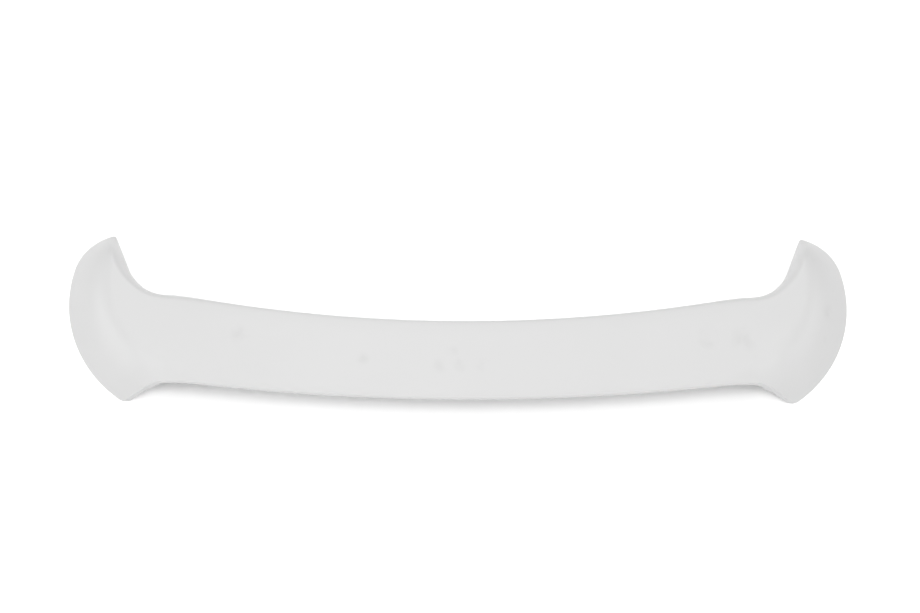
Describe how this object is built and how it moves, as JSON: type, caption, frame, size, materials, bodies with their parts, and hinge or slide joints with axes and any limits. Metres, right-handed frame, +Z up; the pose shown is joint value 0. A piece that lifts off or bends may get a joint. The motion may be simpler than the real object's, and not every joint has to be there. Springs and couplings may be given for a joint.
{
  "type": "car boot-lid spoiler",
  "caption": "Boot-lid spoiler moulded in one piece: a bowed blade with an upturned rear lip on two domed half-moon feet, with threaded inserts in the feet.",
  "frame": {"origin": "middle of the footprint, on the plane that the feet rest on", "axes": "+X to the right of the car, +Y to its front, +Z up; the trailing edge is on the -Y side"},
  "size_m": [1.24, 0.3192, 0.06],
  "materials": {
    "shell": "satin, as moulded, unpainted pale grey",
    "insert": "turned"
  },
  "bodies": {
    "root": {"spoiler_body": "shell", "insert_front_left": "insert", "insert_front_right": "insert", "insert_rear_left": "insert", "insert_rear_right": "insert"}
  },
  "joints": []
}
